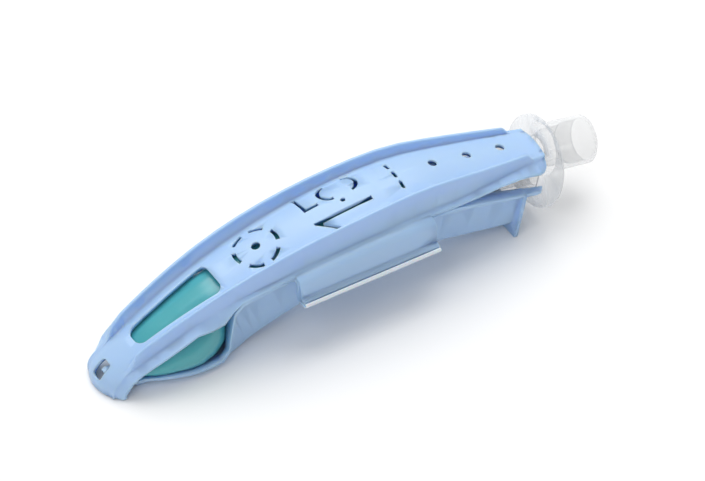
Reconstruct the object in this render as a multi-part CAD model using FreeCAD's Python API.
"""Small supraglottic airway in its hinged protective cradle.

The airway lies on its back in a moulded cradle: a deep tray below and an arched
lid above, joined along one side by a living hinge. Its soft cuff sits in the
flared bowl of the tray, its curved stem runs up the channel, and the clear
connector with its wide flange and 15 mm cone stands out of the open end.

Every long shape follows one line, the crown line of the lid. A place is given by
its station s along that line (0 at the top of the arch, positive towards the
nose, negative towards the connector), its offset y to the side and its depth d
below the line. Sizes are in millimetres, +Z is up, -X is the nose.
"""
import FreeCAD, Part
import math
import os

V = FreeCAD.Vector

# Crown line of the lid, from the connector end over the arch to the nose
TAIL_TILT = math.radians(12.2)      # slope of the straight end, and tilt of the connector
TAIL_STATION = -53.8                # where the lid ends
KNUCKLE_RADIUS = 75.0               # short bend between the straight end and the arch
BACK_RADIUS = 180.0                 # the long arch
BACK_ANGLE = math.radians(32.5)     # slope reached where the nose bend starts
NOSE_RADIUS = 7.0                   # bend of the lid down over the nose
NOSE_DROP = 1.0                     # straight end of the nose tab
NOSE_LIFT = 0.3                     # nose tab stays clear of the table
TAB_START = 96.0                    # from here the lid narrows into the tab

# Walls and fits
WALL = 1.3                          # moulded wall of the cradle
LIP = 0.9                           # the lid's lip thins towards its edge
LID_GAP = 0.3                       # between lid and tray when shut
FIT = 0.3                           # between the airway and what carries it

# How finely lofted sections follow their curves
ARC_CHORDS = 4
CROWN_CHORDS = 6
OVAL_SIDES = 20
RING_SIDES = 12

# Lid, seen from above
RAIL_HALF_WIDTH = 12.4              # to the outer face of a rail at its widest
WIDEST_STATION = 20.0
RAIL_NOSE_SWEEP = 632.0             # plan radius of the rails towards the nose
RAIL_TAIL_SWEEP = 480.0             # and towards the connector
RAIL_THICKNESS = 1.5
RAIL_DRAFT = 0.15
RAIL_HEIGHT_TAIL = 0.9              # rail tops above the crown line
RAIL_HEIGHT_NOSE = 2.6
RAIL_NOSE_END = 98.0                # where the rails have faded out
RAIL_NOSE_FADE = 7.0
RAIL_TAIL_END = -49.2               # where they end in a short slope
RAIL_TAIL_FADE = 2.6
EDGE_HALF_WIDTH = 13.4              # to the edge of the lip
EDGE_NOSE_SWEEP = 1000.0
EDGE_TAIL_SWEEP = 900.0
CROWN_RADIUS = 20.0                 # cross curvature between the rails
SIDE_DEPTH_NOSE = 1.8               # foot of the rail below the crown line
SIDE_DEPTH_MIDDLE = 7.7
SIDE_DEPTH_TAIL = 2.2
LIP_DROOP = 0.5                     # from the foot of the rail to the edge of the lip
CUFF_FLARE = 1.35                   # the lid widens over the cuff
CUFF_FLARE_STATION = 80.0
CUFF_FLARE_REACH = 22.0
DIP_DROOP = 3.8                     # low corner where that flare starts
DIP_STATION = 67.5
DIP_REACH = 8.5
TAIL_DROOP = 1.8
TAIL_CORNER = 2.8                   # rounded corners of the open end
TAB_HALF_WIDTH = 9.6
TAB_PLAN_RADIUS = 12.6

# Window, holes and slots in the lid
WINDOW_TAIL = 60.5
WINDOW_NOSE = 90.5
WINDOW_HALF_WIDTH_TAIL = 6.2
WINDOW_HALF_WIDTH_NOSE = 3.6
WINDOW_CORNER = 2.6
HOLE_RADIUS = 1.45
HOLE_STATIONS = (-17.0, -29.3, -41.4)
ROSETTE_STATION = 45.0
ROSETTE_RADIUS = 6.9
ROSETTE_SLOTS = 6
ROSETTE_SLOT_ANGLE = math.radians(38.0)
SLOT_WIDTH = 1.3
NUMERAL_FOOT = 7.0                  # size number 1.5, its top towards the nose
NUMERAL_HEIGHT = 20.0
ONE_SIDE = -4.5                     # centre line of the 1
ONE_FLAG_LENGTH = 5.5
ONE_FLAG_REACH = 3.6
POINT_SIDE = -0.9
POINT_RADIUS = 0.8
FIVE_SIDE = 4.8                     # centre of the bowl of the 5
FIVE_RADIUS = 3.5
FIVE_BAR_END = 9.6
FIVE_STROKE = 5.2
BRIDGE = 1.2                        # left standing between two cuts of one numeral
MARK_STATION = -3.5                 # row of three oblong slots
MARK_SIDES = (-4.4, 0.0, 4.4)
MARK_LENGTH = 3.0
LATCH_STATION = 103.5
LATCH_SLOT_HALF_WIDTH = 2.2
LATCH_SLOT_LENGTH = 6.0
LATCH_CORNER = 1.3

# Tray
CHANNEL_DEPTH = 25.0                # underside of the channel below the crown line
CHANNEL_HALF_WIDTH = 8.6            # outside of the channel's wall at the rim
CHANNEL_DRAFT = 0.6
CHANNEL_CORNER = 1.6
RIM_THICKNESS = 1.3
RIM_INSET = 0.5                     # the rim stops short of the edge of the lid
RIM_SPLIT_STATION = -14.0           # from here the rim and the lid part
RIM_FALL_STATION = -24.0            # and from here the rim falls
RIM_FALL = 0.1
BOWL_START = 59.5
BOWL_FULL = 73.0
BOWL_END = 99.3
BOWL_RIM_HEIGHT = 3.2               # bowl rim above the table
BOWL_RIM_HEIGHT_NOSE = 4.5
BOWL_FLARE = 2.2
BOWL_FLARE_STATION = 82.0
BOWL_FLARE_REACH = 20.0
BOWL_RIM_WIDTH = 0.9
BOWL_NOSE_HALF_WIDTH = 8.2
BOWL_FLOOR_HALF_WIDTH = 9.0
BOWL_FLOOR_NOSE = 6.2
TABLE_TRIM = 0.12                   # drawn below the table, and trimmed flat
FOOT_STATION = -47.5                # transverse end plate that is also the rear foot
FOOT_THICKNESS = 1.3
FOOT_HALF_WIDTH = 10.6
TRAY_TAIL_STATION = -54.8           # the rim goes on past the plate
TRAY_TAIL_INNER = 7.6
CRADLE_STATIONS = (34.0, 4.0)       # ribs that carry the stem
CRADLE_THICKNESS = 1.2
CRADLE_TOP = 12.5

# Latch hook on the tray's nose
HOOK_HALF_WIDTH = 0.8
HOOK_TIP = 3.0                      # tip behind the outermost point of the nose
HOOK_TOP = 5.8                      # heights above the table
HOOK_EDGE = 5.2
HOOK_ROOT = 2.0

# Hinge flange along the near side, and its film
HINGE_START = -38.8
HINGE_END = 8.1
HINGE_Y = -18.7
HINGE_Z = 17.45
HINGE_SETBACK = 0.4                 # of both flange edges behind the axis
FILM_RADIUS = 0.3
FLANGE_WALL = 1.15
FLANGE_REACH = 16.5                 # outer face of the shoulder
FLANGE_DROP = 2.2                   # height of the shoulder's curve
FLANGE_STEP = 0.1                   # of the flange's top below the lip
FLANGE_FOOT = 0.9                   # thickness at the edge
FLANGE_LEAN = 0.3
FLANGE_SPANS = 6

# Airway
STEM_HALF_WIDTH = 6.5
STEM_TOP = 3.2
STEM_BOTTOM = 17.2
STEM_END = -18.0                    # butts on the clear base
CUFF_HALF_WIDTH = 11.7
CUFF_WIDEST = 79.0
CUFF_TOP = 2.3
CUFF_BOTTOM_HEIGHT = 1.7            # above the table
CUFF_TIP = 97.5
CUFF_TIP_HALF_WIDTH = 2.2
CUFF_STEM = 59.0
AIR_RADIUS = 3.3
AIR_DEPTH = 9.0
DRAIN_RADIUS = 1.5
DRAIN_DEPTH = 14.8
DRAIN_SIDE = 9.0
MASK_STATION = 77.0
MASK_HALF_LENGTH = 13.0
MASK_HALF_WIDTH = 6.2
MASK_DEPTH = 6.0
MASK_SPANS = 8

# Connector
DISC_STATION = -55.6
DISC_THICKNESS = 1.6
DISC_RADIUS = 14.5
DISC_CHAMFER = 0.4
DISC_DEPTH = 8.75                   # centre of the disc below the crown line
CONE_DEPTH = 4.4                    # axis of the 15 mm cone below the crown line
CONE_LENGTH = 17.0
CONE_END_RADIUS = 7.54
CONE_TAPER = 1.0 / 80.0             # on the radius
CONE_ROOT_RADIUS = 8.6
CONE_ROOT_LENGTH = 5.5
CONE_CHAMFER = 0.3
CONE_BORE = 5.9
CONE_STEP = 0.4                     # the bore narrows by a small step inside
CONE_COUNTERBORE = 6.5
CONE_COUNTERBORE_LENGTH = 6.5
BASE_HALF_WIDTH = 7.0
BASE_TOP = 2.2
BASE_BOTTOM = 18.8
BASE_END = -53.4
NECK_STEP = 0.6
SPIGOT_WALL = 0.8
SPIGOT_LENGTH = 5.0
DRAIN_PORT_DEPTH = 15.4
DRAIN_PORT_RADIUS = 2.0
DRAIN_PORT_LENGTH = 6.0


def smooth(t):
    t = min(max(t, 0.0), 1.0)
    return t * t * (3.0 - 2.0 * t)


def bump(t):
    return 0.5 * (1.0 + math.cos(math.pi * t)) if abs(t) < 1.0 else 0.0


def mix(a, b, t):
    return a + (b - a) * t


BACK_LENGTH = BACK_RADIUS * BACK_ANGLE
BEND_ANGLE = math.pi / 2.0 - BACK_ANGLE
BEND_LENGTH = NOSE_RADIUS * BEND_ANGLE
NOSE_STATION = BACK_LENGTH + BEND_LENGTH + NOSE_DROP
KNUCKLE_LENGTH = KNUCKLE_RADIUS * TAIL_TILT
TOP_HEIGHT = (
    NOSE_LIFT + NOSE_DROP + NOSE_RADIUS * math.cos(BACK_ANGLE) + BACK_RADIUS * (1.0 - math.cos(BACK_ANGLE))
)


def crown(s):
    """Point (x, z) of the crown line at station s, and its slope towards the nose."""
    if s < 0.0:
        a = min(-s / KNUCKLE_RADIUS, TAIL_TILT)
        run = max(-s - KNUCKLE_LENGTH, 0.0)
        x = KNUCKLE_RADIUS * math.sin(a) + run * math.cos(TAIL_TILT)
        z = TOP_HEIGHT - KNUCKLE_RADIUS * (1.0 - math.cos(a)) - run * math.sin(TAIL_TILT)
        return x, z, -a
    a = min(s / BACK_RADIUS, BACK_ANGLE)
    x = -BACK_RADIUS * math.sin(a)
    z = TOP_HEIGHT - BACK_RADIUS * (1.0 - math.cos(a))
    if s > BACK_LENGTH:
        b = min((s - BACK_LENGTH) / NOSE_RADIUS, BEND_ANGLE)
        x += NOSE_RADIUS * (math.sin(a) - math.sin(a + b))
        z -= NOSE_RADIUS * (math.cos(a) - math.cos(a + b))
        a += b
        z -= max(s - BACK_LENGTH - BEND_LENGTH, 0.0)
    return x, z, a


def at(s, y, d):
    x, z, a = crown(s)
    return V(x + d * math.sin(a), y, z - d * math.cos(a))


def depth_of_height(s, height):
    """Depth at station s that lies at a height above the table."""
    x, z, a = crown(s)
    return (z - height) / math.cos(a)


def across(s):
    """Maps (y, d) into the plane across the object at station s."""
    return lambda y, d: at(s, y, d)


def upright(x):
    """Maps (y, z) into the upright plane at x."""
    return lambda y, z: V(x, y, z)


def flat(u, v):
    return V(u, v, 0.0)


def corner_arc(before, corner, after, back):
    """Start, mid and end of the arc that rounds a corner, starting back before it."""
    here = flat(*corner[:2])
    to_before = flat(*before[:2]) - here
    to_after = flat(*after[:2]) - here
    half = 0.5 * to_before.getAngle(to_after)
    to_before.normalize()
    to_after.normalize()
    inward = to_before + to_after
    inward.normalize()
    mid = here + inward * (back / math.cos(half) - back * math.tan(half))
    return [(p.x, p.y) for p in (here + to_before * back, mid, here + to_after * back)]


def outline(place, path, chords=0):
    """Closed wire through the corners of a path, put in space by place. A number
    after a corner rounds it by an arc that starts that far from it, and a pair is
    the mid point of an arc that leads to it, with its own number of chords after it.
    Arcs stay true arcs, or take a number of chords in a section that is lofted."""
    spots = []
    for i, corner in enumerate(path):
        extra = corner[2] if len(corner) > 2 else None
        if extra is None or isinstance(extra, tuple):
            spots.append((corner[:2], extra, corner[3] if len(corner) > 3 else chords))
        else:
            start, mid, end = corner_arc(path[i - 1], corner, path[(i + 1) % len(path)], extra)
            spots += [(start, None, 0), (end, mid, chords)]
    edges = []
    for (start, _, _), (end, mid, count) in zip(spots, spots[1:] + spots[:1]):
        if mid and not count:
            edges.append(Part.Arc(place(*start), place(*mid), place(*end)).toShape())
            continue
        corners = [start, end]
        if mid:
            arc = Part.Arc(flat(*start), flat(*mid), flat(*end)).toShape()
            corners = [(p.x, p.y) for p in arc.discretize(Number=count + 1)]
        edges += [Part.LineSegment(place(*a), place(*b)).toShape() for a, b in zip(corners, corners[1:])]
    return Part.Wire(edges)


def both_sides(half):
    """Whole path from its half at positive y, for corners without arcs between."""
    return half + [(-corner[0],) + tuple(corner[1:]) for corner in reversed(half)]


def oval(place, half_width, top, bottom, power):
    """Closed round section between two depths, boxier for a higher power."""
    centre = 0.5 * (top + bottom)
    half_height = 0.5 * (bottom - top)
    points = []
    for i in range(OVAL_SIDES):
        t = 2.0 * math.pi * (i + 0.5) / OVAL_SIDES
        c = math.cos(t)
        v = math.sin(t)
        y = half_width * math.copysign(abs(c) ** (2.0 / power), c)
        d = centre + half_height * math.copysign(abs(v) ** (2.0 / power), v)
        points.append((y, d))
    return outline(place, points)


def ring(s, y, d, radius):
    turns = [2.0 * math.pi * i / RING_SIDES for i in range(RING_SIDES)]
    return outline(across(s), [(y + radius * math.cos(t), d + radius * math.sin(t)) for t in turns])


def loft(sections):
    return Part.makeLoft(sections, True, True)


def stations(first, last, step):
    count = max(int(math.ceil(abs(last - first) / step)), 1)
    return [first + (last - first) * i / count for i in range(count + 1)]


def arch_drop(y, radius):
    return radius - math.sqrt(radius * radius - y * y)


# Shape of the lid along the crown line

def rail_half_width(s):
    sweep = RAIL_NOSE_SWEEP if s > WIDEST_STATION else RAIL_TAIL_SWEEP
    return RAIL_HALF_WIDTH - (s - WIDEST_STATION) ** 2 / (2.0 * sweep)


def edge_half_width(s):
    sweep = EDGE_NOSE_SWEEP if s > WIDEST_STATION else EDGE_TAIL_SWEEP
    return EDGE_HALF_WIDTH - (s - WIDEST_STATION) ** 2 / (2.0 * sweep)


def nose_share(s):
    """0 along the lid, 1 in the nose tab."""
    return smooth((s - TAB_START) / (BACK_LENGTH + 1.0 - TAB_START))


def cross_radius(s):
    return mix(CROWN_RADIUS, TAB_PLAN_RADIUS, nose_share(s))


def side_depth(s):
    if s >= 0.0:
        rise = math.sin(0.5 * math.pi * min(max((66.0 - s) / 66.0, 0.0), 1.0))
        return SIDE_DEPTH_NOSE + (SIDE_DEPTH_MIDDLE - SIDE_DEPTH_NOSE) * rise
    return mix(SIDE_DEPTH_MIDDLE, SIDE_DEPTH_TAIL, smooth((-10.0 - s) / 42.0))


def lip_droop(s):
    dip = DIP_DROOP * bump((s - DIP_STATION) / DIP_REACH)
    tail = TAIL_DROOP * smooth((-38.0 - s) / 16.0)
    return LIP_DROOP + dip + tail


def rail_height(s):
    height = mix(RAIL_HEIGHT_TAIL, RAIL_HEIGHT_NOSE, smooth((s - 5.0) / 60.0))
    fade = smooth((RAIL_NOSE_END - s) / RAIL_NOSE_FADE) * smooth((s - RAIL_TAIL_END) / RAIL_TAIL_FADE)
    return height, fade


def lid_edge(s):
    """(y, d) of the upper corner of the lid's lip."""
    y = edge_half_width(s) + CUFF_FLARE * bump((s - CUFF_FLARE_STATION) / CUFF_FLARE_REACH)
    d = side_depth(s) + lip_droop(s)
    n = nose_share(s)
    return mix(y, TAB_HALF_WIDTH, n), mix(d, arch_drop(TAB_HALF_WIDTH, TAB_PLAN_RADIUS), n)


def lid_section(s):
    radius = cross_radius(s)
    n = nose_share(s)
    y_out = mix(rail_half_width(s), 7.6, n)
    y_in = y_out - RAIL_THICKNESS
    y_root = y_out + RAIL_DRAFT
    d_in = arch_drop(y_in, radius)
    d_root = mix(side_depth(s), arch_drop(y_root, radius), n)
    height, fade = rail_height(s)
    d_flat = arch_drop(0.5 * (y_in + y_out), radius) - 0.12
    d_top = mix(d_flat, -height, fade)
    round_off = mix(0.04, 0.5 * RAIL_THICKNESS, fade)
    d_shoulder_in = min(d_top + round_off, d_in - 0.03)
    d_shoulder_out = min(d_top + round_off, d_root - 0.03)
    y_edge, d_edge = lid_edge(s)
    y_inner = y_out - WALL
    d_inner_crown = WALL + arch_drop(y_inner, radius - WALL)
    d_inner = max(d_root + WALL, d_inner_crown + 0.12)
    lip = mix(LIP, WALL, n)
    rail_mid = 0.5 * (y_in + y_out)
    return outline(across(s), [
        (y_in, d_in, (0.0, 0.0), CROWN_CHORDS),
        (y_in, d_shoulder_in),
        (y_out, d_shoulder_out, (rail_mid, d_top)),
        (y_root, d_root),
        (y_edge, d_edge),
        (y_edge, d_edge + lip),
        (y_inner, d_inner),
        (y_inner, d_inner_crown),
        (-y_inner, d_inner_crown, (0.0, WALL), CROWN_CHORDS),
        (-y_inner, d_inner),
        (-y_edge, d_edge + lip),
        (-y_edge, d_edge),
        (-y_root, d_root),
        (-y_out, d_shoulder_out),
        (-y_in, d_shoulder_in, (-rail_mid, d_top)),
        (-y_in, d_in),
    ], ARC_CHORDS)


def lid_shell():
    tail = stations(TAIL_STATION, RAIL_TAIL_END, 2.4)
    rail_end = stations(RAIL_TAIL_END + 0.9, RAIL_TAIL_END + RAIL_TAIL_FADE, 0.9)
    back = stations(RAIL_TAIL_END + RAIL_TAIL_FADE + 3.5, DIP_STATION - DIP_REACH, 8.5)
    cuff = stations(DIP_STATION - DIP_REACH + 3.0, TAB_START - 3.0, 4.5)
    bend = stations(TAB_START - 1.0, NOSE_STATION, 2.2)
    return loft([lid_section(s) for s in tail + rail_end + back + cuff + bend])


def prism(s, face, reach=5.0):
    """Prism along the lid's normal at station s, from a face drawn in (along, side)."""
    x, z, a = crown(s)
    solid = face.extrude(V(0.0, 0.0, 2.0 * reach))
    solid.Placement = FreeCAD.Placement(FreeCAD.Matrix(
        -math.cos(a), 0.0, math.sin(a), x - reach * math.sin(a),
        0.0, 1.0, 0.0, 0.0,
        -math.sin(a), 0.0, -math.cos(a), z + reach * math.cos(a),
        0.0, 0.0, 0.0, 1.0,
    ))
    return solid


def arc_slot(radius, angle, span):
    """Flat ring sector centred on an angle."""
    inner = radius - 0.5 * SLOT_WIDTH
    outer = radius + 0.5 * SLOT_WIDTH

    def spot(r, t):
        return (r * math.cos(t), r * math.sin(t))

    first = angle - 0.5 * span
    last = angle + 0.5 * span
    return Part.Face(outline(flat, [
        spot(outer, first),
        spot(outer, last) + (spot(outer, angle),),
        spot(inner, last),
        spot(inner, first) + (spot(inner, angle),),
    ]))


def oblong(along, side, length, width):
    """Flat slot across the lid with round ends, in (along, side)."""
    half = 0.5 * length - 0.5 * width
    r = 0.5 * width
    return Part.Face(outline(flat, [
        (along - r, side - half),
        (along + r, side - half, (along, side - half - r)),
        (along + r, side + half),
        (along - r, side + half, (along, side + half + r)),
    ]))


def numeral_cuts():
    """Stencil cuts of the size number, in (along, side) about the foot of its figures."""
    r = 0.5 * SLOT_WIDTH
    top = NUMERAL_HEIGHT
    one = Part.Face(outline(flat, [
        (0.0, ONE_SIDE - r),
        (0.0, ONE_SIDE + r),
        (top, ONE_SIDE + r),
        (top, ONE_SIDE),
        (top - ONE_FLAG_LENGTH, ONE_SIDE - ONE_FLAG_REACH - r),
        (top - ONE_FLAG_LENGTH - SLOT_WIDTH, ONE_SIDE - ONE_FLAG_REACH - r + 0.4),
        (top - 2.0 * SLOT_WIDTH, ONE_SIDE - r),
    ]))
    point = Part.Face(Part.Wire(Part.makeCircle(POINT_RADIUS, flat(0.4 * top, POINT_SIDE))))
    left = FIVE_SIDE - FIVE_RADIUS
    bar = Part.Face(outline(flat, [
        (top, left),
        (top, FIVE_BAR_END),
        (top - SLOT_WIDTH, FIVE_BAR_END),
        (top - SLOT_WIDTH, left + SLOT_WIDTH),
        (top - FIVE_STROKE, left + SLOT_WIDTH),
        (top - FIVE_STROKE, left),
    ]))
    foot_arc = arc_slot(FIVE_RADIUS, math.pi, math.radians(160.0))
    foot_arc.translate(flat(FIVE_RADIUS + r, FIVE_SIDE))
    head_arc = arc_slot(FIVE_RADIUS, 0.0, math.radians(170.0))
    head_arc.translate(flat(top - FIVE_STROKE - BRIDGE - FIVE_RADIUS - r, FIVE_SIDE))
    return [one, point, bar, foot_arc, head_arc]


def lid_cuts():
    middle = 0.5 * (WINDOW_TAIL + WINDOW_NOSE)
    half = 0.5 * (WINDOW_NOSE - WINDOW_TAIL)
    window = Part.Face(outline(flat, [
        (-half, -WINDOW_HALF_WIDTH_TAIL, WINDOW_CORNER),
        (half, -WINDOW_HALF_WIDTH_NOSE, WINDOW_CORNER),
        (half, WINDOW_HALF_WIDTH_NOSE, WINDOW_CORNER),
        (-half, WINDOW_HALF_WIDTH_TAIL, WINDOW_CORNER),
    ]))
    cuts = [prism(middle, window)]
    round_hole = Part.Face(Part.Wire(Part.makeCircle(HOLE_RADIUS)))
    cuts += [prism(s, round_hole) for s in HOLE_STATIONS + (ROSETTE_STATION,)]
    for i in range(ROSETTE_SLOTS):
        slot = arc_slot(ROSETTE_RADIUS, i * 2.0 * math.pi / ROSETTE_SLOTS, ROSETTE_SLOT_ANGLE)
        cuts.append(prism(ROSETTE_STATION, slot))
    reach = 0.5 * LATCH_SLOT_LENGTH
    latch = Part.Face(outline(flat, [
        (-reach, -LATCH_SLOT_HALF_WIDTH, LATCH_CORNER),
        (reach, -LATCH_SLOT_HALF_WIDTH, LATCH_CORNER),
        (reach, LATCH_SLOT_HALF_WIDTH, LATCH_CORNER),
        (-reach, LATCH_SLOT_HALF_WIDTH, LATCH_CORNER),
    ]))
    cuts.append(prism(LATCH_STATION, latch, 4.0))
    middle = NUMERAL_FOOT + 0.5 * NUMERAL_HEIGHT
    for numeral in numeral_cuts():
        numeral.translate(flat(-0.5 * NUMERAL_HEIGHT, 0.0))
        cuts.append(prism(middle, numeral))
    cuts += [prism(MARK_STATION, oblong(0.0, side, MARK_LENGTH, SLOT_WIDTH)) for side in MARK_SIDES]
    return cuts + tail_corners(TAIL_STATION, lid_edge(TAIL_STATION)[0])


def tail_corners(station, half_width):
    """Pieces that round the two corners of an open end when they are cut away."""
    r = TAIL_CORNER
    cuts = []
    for side in (-1.0, 1.0):
        corner = Part.Face(outline(flat, [
            (r, side * (half_width + 2.0)),
            (r, side * half_width),
            (0.0, side * (half_width - r), (r - r * math.sqrt(0.5), side * (half_width - r + r * math.sqrt(0.5)))),
            (-2.0, side * (half_width - r)),
            (-2.0, side * (half_width + 2.0)),
        ]))
        cuts.append(prism(station, corner, 25.0))
    return cuts


# Hinge flange, drawn in upright planes across the object

def lip_height(x):
    """Height of the lip's upper corner where it passes x."""
    low, high = TAIL_STATION, BOWL_START
    for _ in range(40):
        middle = 0.5 * (low + high)
        if at(middle, *lid_edge(middle)).x > x:
            low = middle
        else:
            high = middle
    return at(low, *lid_edge(low)).z


def lid_flange_section(x):
    top = lip_height(x) - FLANGE_STEP
    under = top + FLANGE_STEP - LIP
    wall = FLANGE_WALL
    face = -FLANGE_REACH
    foot = HINGE_Z + 0.5 * LID_GAP
    edge = HINGE_Y + HINGE_SETBACK
    root = 1.0 - EDGE_HALF_WIDTH
    return outline(upright(x), [
        (root, top),
        (face, top, FLANGE_DROP),
        (face - FLANGE_LEAN, foot + wall + 0.5),
        (edge, foot + FLANGE_FOOT),
        (edge, foot),
        (face + FLANGE_LEAN, foot),
        (face + wall, foot + wall),
        (face + wall, under, FLANGE_DROP - wall),
        (root, under),
    ], ARC_CHORDS)


def tray_flange_section(x):
    wall = FLANGE_WALL
    top = lip_height(x) - FLANGE_STEP - LIP - LID_GAP - 0.1
    face = wall + LID_GAP - FLANGE_REACH
    foot = HINGE_Z - 0.5 * LID_GAP
    edge = HINGE_Y + HINGE_SETBACK
    root = -(CHANNEL_HALF_WIDTH + 1.0)
    return outline(upright(x), [
        (root, top),
        (face, top, FLANGE_DROP - wall),
        (face, foot + wall + LID_GAP),
        (face - wall + FLANGE_LEAN, foot),
        (edge, foot),
        (edge, foot - FLANGE_FOOT),
        (face + FLANGE_LEAN, foot - FLANGE_FOOT),
        (face + wall, foot + 0.5 * wall),
        (face + wall, top - wall, 0.4),
        (root, top - wall),
    ], ARC_CHORDS)


def flange(section):
    return loft([section(x) for x in stations(HINGE_START, HINGE_END, (HINGE_END - HINGE_START) / FLANGE_SPANS)])


# Tray

def bowl_share(s):
    return smooth((s - BOWL_START) / (BOWL_FULL - BOWL_START))


def tray_rim(s):
    """(y, d) of the upper corner of the tray's rim."""
    seat = lid_edge(min(max(s, RIM_SPLIT_STATION), BOWL_START))[1] + LIP + LID_GAP
    seat += RIM_FALL * max(RIM_FALL_STATION - s, 0.0)
    height = mix(BOWL_RIM_HEIGHT, BOWL_RIM_HEIGHT_NOSE, smooth((s - 80.0) / 12.0))
    y = edge_half_width(s) - RIM_INSET
    y += BOWL_FLARE * bump((s - BOWL_FLARE_STATION) / BOWL_FLARE_REACH)
    y = mix(y, BOWL_NOSE_HALF_WIDTH, smooth((s - 88.0) / (BOWL_END - 88.0)) ** 2)
    return y, mix(seat, depth_of_height(s, height), bowl_share(s))


def floor_depth(s, height=0.0):
    """The channel's underside, or a height above the table where that is nearer."""
    if s < 40.0:
        return CHANNEL_DEPTH
    ground = depth_of_height(s, height)
    gap = ground - CHANNEL_DEPTH
    return CHANNEL_DEPTH + 0.5 * (gap - math.hypot(gap, 0.5))


def tray_wall(s):
    """Floor corner and upper corner (y, d) of the tray's outer wall."""
    share = bowl_share(s)
    y_rim, d_rim = tray_rim(s)
    nose = smooth((s - 82.0) / (BOWL_END - 82.0))
    bowl_floor = mix(BOWL_FLOOR_HALF_WIDTH, BOWL_FLOOR_NOSE, nose)
    y_floor = mix(CHANNEL_HALF_WIDTH - CHANNEL_DRAFT, bowl_floor, share)
    y_wall = mix(CHANNEL_HALF_WIDTH, y_rim - BOWL_RIM_WIDTH, share)
    return (y_floor, floor_depth(s, -TABLE_TRIM)), (y_wall, d_rim + RIM_THICKNESS)


def tray_outer(s):
    floor, wall = tray_wall(s)
    y_rim, d_rim = tray_rim(s)
    return outline(across(s), both_sides([
        floor + (mix(CHANNEL_CORNER, 0.7, bowl_share(s)),),
        wall,
        (y_rim, wall[1]),
        (y_rim, d_rim),
    ]), ARC_CHORDS)


def tray_inner(s):
    """The hollow: the outer wall moved in by its thickness, and open at the top."""
    (y0, d0), (y1, d1) = tray_wall(s)
    length = math.hypot(y1 - y0, d1 - d0)
    ty = (y1 - y0) / length
    td = (d1 - d0) / length
    y0 += td * WALL
    d0 -= ty * WALL
    d_floor = floor_depth(s) - WALL
    d_rim = tray_rim(s)[1]
    y_floor = y0 + ty / td * (d_floor - d0)
    y_rim = y0 + ty / td * (d_rim - d0)
    return outline(across(s), both_sides([
        (y_floor, d_floor, 0.6),
        (y_rim, d_rim),
        (y_rim, d_rim - 3.0),
    ]), ARC_CHORDS)


def tray_stations(first, last):
    return stations(first, BOWL_START - 4.0, 9.5) + stations(BOWL_START - 1.0, last, 4.0)


def tray_plate(station, thickness, half_width, top, bottom):
    """Plate across the tray between two depths."""
    places = [station, station + thickness]
    return loft([outline(across(s), both_sides([(half_width, bottom), (half_width, top)])) for s in places])


def saddle_hollow():
    """Room for the stem and the connector's base, open upwards."""
    places = stations(STEM_END, CUFF_STEM, 8.0)
    stem = loft([stem_section(s, FIT) for s in places])
    base = loft([base_section(s, FIT) for s in (DISC_STATION, STEM_END)])
    shaft = loft([
        outline(across(s), both_sides([(BASE_HALF_WIDTH + FIT, 0.5 * (BASE_TOP + BASE_BOTTOM)), (BASE_HALF_WIDTH + FIT, 0.0)]))
        for s in (DISC_STATION, STEM_END)
    ])
    return [stem, base, shaft]


def below_table():
    """What is trimmed off the bowl so that it stands on one flat face."""
    nose = crown(NOSE_STATION)[0]
    return Part.makeBox(-nose, 4.0 * EDGE_HALF_WIDTH, 1.0, V(nose, -2.0 * EDGE_HALF_WIDTH, -1.0))


def tray_shell():
    tray = loft([tray_outer(s) for s in tray_stations(FOOT_STATION, BOWL_END)])
    hollow = loft([tray_inner(s) for s in tray_stations(FOOT_STATION + FOOT_THICKNESS, BOWL_END - WALL)])
    tray = tray.cut(hollow)
    d_rim = tray_rim(FOOT_STATION)[1]
    pieces = [tray_plate(FOOT_STATION, FOOT_THICKNESS, FOOT_HALF_WIDTH, d_rim + 0.5, depth_of_height(FOOT_STATION, 0.0))]
    for s in CRADLE_STATIONS:
        y_floor = CHANNEL_HALF_WIDTH - CHANNEL_DRAFT - 0.4
        pieces.append(tray_plate(s, CRADLE_THICKNESS, y_floor, CRADLE_TOP, CHANNEL_DEPTH - 0.5))
    for side in (-1.0, 1.0):
        sections = []
        for s in (TRAY_TAIL_STATION, FOOT_STATION + 0.5 * FOOT_THICKNESS):
            y_rim, d = tray_rim(s)
            corners = [(TRAY_TAIL_INNER, d), (y_rim, d), (y_rim, d + RIM_THICKNESS), (TRAY_TAIL_INNER, d + RIM_THICKNESS)]
            sections.append(outline(across(s), [(side * y, depth) for y, depth in corners]))
        pieces.append(loft(sections))
    tray = tray.fuse(pieces)
    corners = tail_corners(TRAY_TAIL_STATION, tray_rim(TRAY_TAIL_STATION)[0])
    return tray.cut(saddle_hollow() + corners + [below_table()])


def latch_hook():
    """Small catch on the tray's nose that stands into the slot of the lid's tab."""
    tip = crown(NOSE_STATION)[0] + HOOK_TIP
    root = at(BOWL_END - 0.5 * WALL, 0.0, depth_of_height(BOWL_END, BOWL_RIM_HEIGHT_NOSE)).x
    profile = Part.Face(outline(lambda x, z: V(x, -HOOK_HALF_WIDTH, z), [
        (root, HOOK_ROOT),
        (tip, HOOK_EDGE - 0.6),
        (tip, HOOK_EDGE),
        (tip + 1.2, HOOK_TOP),
        (root, BOWL_RIM_HEIGHT_NOSE - 0.1),
    ]))
    return profile.extrude(V(0.0, 2.0 * HOOK_HALF_WIDTH, 0.0))


# Airway

def stem_section(s, grow=0.0):
    return oval(across(s), STEM_HALF_WIDTH + grow, STEM_TOP - grow, STEM_BOTTOM + grow, 2.6)


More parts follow.
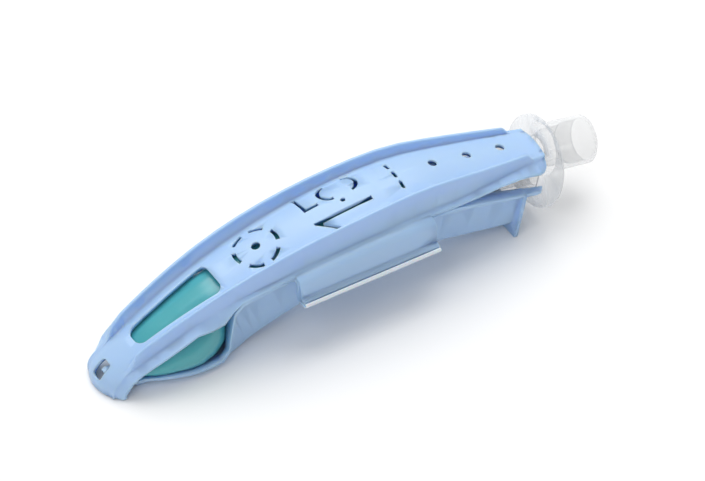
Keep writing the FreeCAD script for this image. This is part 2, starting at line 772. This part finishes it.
def cuff_section(s):
    """The cuff swells from the stem to its widest station and closes at its tip."""
    if s < CUFF_WIDEST:
        share = smooth((s - CUFF_STEM) / (CUFF_WIDEST - CUFF_STEM))
        half_width = mix(STEM_HALF_WIDTH, CUFF_HALF_WIDTH, share)
    else:
        t = (s - CUFF_WIDEST) / (CUFF_TIP - CUFF_WIDEST)
        share = 1.0
        half_width = mix(CUFF_TIP_HALF_WIDTH, CUFF_HALF_WIDTH, math.sqrt(1.0 - t ** 2.4))
    top = mix(STEM_TOP, CUFF_TOP, share)
    bottom = depth_of_height(s, CUFF_BOTTOM_HEIGHT)
    if s < CUFF_WIDEST:
        bottom = mix(STEM_BOTTOM, min(bottom, STEM_BOTTOM + 2.0), share)
    else:
        top += 2.2 * t ** 3
        bottom -= 1.6 * t ** 3
    return oval(across(s), half_width, top, bottom, mix(2.6, 2.2, share))


def drain_route(s):
    """(y, d) of the drain channel, which passes beside the bowl of the mask."""
    share = smooth((s - CUFF_STEM) / 14.0) * smooth((CUFF_TIP + 1.0 - s) / 16.0)
    depth = mix(DRAIN_PORT_DEPTH, DRAIN_DEPTH, smooth((s - DISC_STATION - DRAIN_PORT_LENGTH) / 25.0))
    low = depth_of_height(s, CUFF_BOTTOM_HEIGHT) - 0.45 * (depth_of_height(s, CUFF_BOTTOM_HEIGHT) - CUFF_TOP)
    return DRAIN_SIDE * share, mix(depth, low, smooth((s - CUFF_STEM) / 14.0))


def drain(first, last, step):
    return loft([ring(s, *drain_route(s), DRAIN_RADIUS) for s in stations(first, last, step)])


def air_route(s):
    """Depth and radius of the breathing channel in the connector and the stem."""
    share = smooth((s - DISC_STATION + 4.0) / 14.0)
    return mix(CONE_DEPTH, AIR_DEPTH, share), mix(CONE_BORE - CONE_STEP, AIR_RADIUS, share)


def air_channel(places, grow=0.0):
    sections = []
    for s in places:
        depth, radius = air_route(s)
        sections.append(ring(s, 0.0, depth, radius + grow))
    return loft(sections)


def spigot_room(grow):
    return air_channel(stations(STEM_END - 1.0, STEM_END + SPIGOT_LENGTH, 2.0), grow)


def mask_bowl():
    """Hollow under the cuff that seals round the larynx, deepest at its middle."""
    sections = []
    for i in range(MASK_SPANS + 1):
        t = math.pi * (i + 0.5) / (MASK_SPANS + 1)
        s = MASK_STATION - MASK_HALF_LENGTH * math.cos(t)
        bottom = depth_of_height(s, CUFF_BOTTOM_HEIGHT)
        depth = MASK_DEPTH * math.sin(t)
        sections.append(oval(across(s), MASK_HALF_WIDTH * math.sin(t), bottom - depth, bottom + depth, 2.0))
    return loft(sections)


def airway_body():
    stem = [stem_section(s) for s in stations(STEM_END, CUFF_STEM - 8.0, 8.0)]
    cuff = [cuff_section(s) for s in stations(CUFF_STEM, CUFF_WIDEST, 4.0) + stations(CUFF_WIDEST + 3.0, CUFF_TIP, 2.6)]
    body = loft(stem + cuff)
    air = air_channel(stations(STEM_END - 1.0, MASK_STATION - 4.0, 8.0))
    return body.cut([mask_bowl(), air, spigot_room(SPIGOT_WALL), drain(STEM_END - 1.0, CUFF_TIP + 1.0, 6.0)])


# Connector

def base_section(s, grow=0.0):
    return oval(across(s), BASE_HALF_WIDTH + grow, BASE_TOP - grow, BASE_BOTTOM + grow, 3.0)


def turned(profile, s, d):
    """Solid of revolution about the tail's direction from station s and depth d, from
    a profile of (distance, radius) corners."""
    face = Part.Face(outline(lambda along, radius: V(along, 0.0, radius), profile))
    solid = face.revolve(V(0.0, 0.0, 0.0), V(1.0, 0.0, 0.0), 360.0)
    solid.rotate(V(0.0, 0.0, 0.0), V(0.0, 1.0, 0.0), math.degrees(TAIL_TILT))
    solid.translate(at(s, 0.0, d))
    return solid


def connector_body():
    root = CONE_END_RADIUS + CONE_TAPER * (CONE_LENGTH - CONE_ROOT_LENGTH)
    cone = turned([
        (0.0, 0.0),
        (0.0, CONE_ROOT_RADIUS),
        (0.4 * CONE_ROOT_LENGTH, root + 0.2),
        (CONE_ROOT_LENGTH, root),
        (CONE_LENGTH - CONE_CHAMFER, CONE_END_RADIUS),
        (CONE_LENGTH, CONE_END_RADIUS - CONE_CHAMFER),
        (CONE_LENGTH, 0.0),
    ], DISC_STATION - 0.5 * DISC_THICKNESS, CONE_DEPTH)
    disc = turned([
        (0.0, 0.0),
        (0.0, DISC_RADIUS - DISC_CHAMFER),
        (DISC_CHAMFER, DISC_RADIUS),
        (DISC_THICKNESS - DISC_CHAMFER, DISC_RADIUS),
        (DISC_THICKNESS, DISC_RADIUS - DISC_CHAMFER),
        (DISC_THICKNESS, 0.0),
    ], DISC_STATION, DISC_DEPTH)
    neck = loft([base_section(s, -NECK_STEP) for s in (BASE_END + 1.0, DISC_STATION - 0.5 * DISC_THICKNESS)])
    base = loft([base_section(s) for s in (BASE_END, STEM_END)])
    body = base.fuse(neck).fuse(disc).fuse(cone).fuse(spigot_room(SPIGOT_WALL))
    start = DISC_STATION - 0.5 * DISC_THICKNESS
    bore = turned([
        (3.0, 0.0),
        (3.0, CONE_BORE),
        (CONE_LENGTH - CONE_COUNTERBORE_LENGTH, CONE_BORE),
        (CONE_LENGTH - CONE_COUNTERBORE_LENGTH, CONE_COUNTERBORE),
        (CONE_LENGTH + 1.0, CONE_COUNTERBORE),
        (CONE_LENGTH + 1.0, 0.0),
    ], start, CONE_DEPTH)
    narrowing = stations(start - 3.5, DISC_STATION + 12.0, 2.0)
    air = air_channel(narrowing + stations(DISC_STATION + 16.0, STEM_END + SPIGOT_LENGTH + 1.0, 5.0))
    port = turned([
        (-DRAIN_PORT_LENGTH, 0.0),
        (-DRAIN_PORT_LENGTH, DRAIN_PORT_RADIUS),
        (1.0, DRAIN_PORT_RADIUS),
        (1.0, 0.0),
    ], DISC_STATION - DISC_THICKNESS, DRAIN_PORT_DEPTH)
    return body.cut(bore).cut([air, drain(DISC_STATION + 1.0, STEM_END + 1.0, 8.0)]).cut(port)


def hinge_film():
    return Part.makeCylinder(FILM_RADIUS, HINGE_END - HINGE_START, V(HINGE_START, HINGE_Y, HINGE_Z), V(1.0, 0.0, 0.0))


def bounds(shapes):
    """Lowest and highest corner of all shapes, from their surfaces."""
    points = [p for shape in shapes for p in shape.tessellate(0.02)[0]]
    low = V(min(p.x for p in points), min(p.y for p in points), min(p.z for p in points))
    high = V(max(p.x for p in points), max(p.y for p in points), max(p.z for p in points))
    return low, high


def make_parts():
    return {
        "lid": lid_shell().fuse(flange(lid_flange_section)).cut(lid_cuts()),
        "tray": tray_shell().fuse([flange(tray_flange_section), latch_hook()]),
        "living_hinge": hinge_film(),
        "airway": airway_body(),
        "connector": connector_body(),
    }


if __name__ == "__main__":
    os.makedirs("parts", exist_ok=True)
    parts = make_parts()
    low, high = bounds(parts.values())
    shift = V(-0.5 * (low.x + high.x), -0.5 * (low.y + high.y), -low.z)
    print("size", high - low, "shift", shift)
    for name, shape in parts.items():
        shape.translate(shift)
        print(name, shape.isValid(), len(shape.Solids), len(shape.Faces), round(shape.Volume, 1))
        shape.exportStep(f"parts/{name}.step")
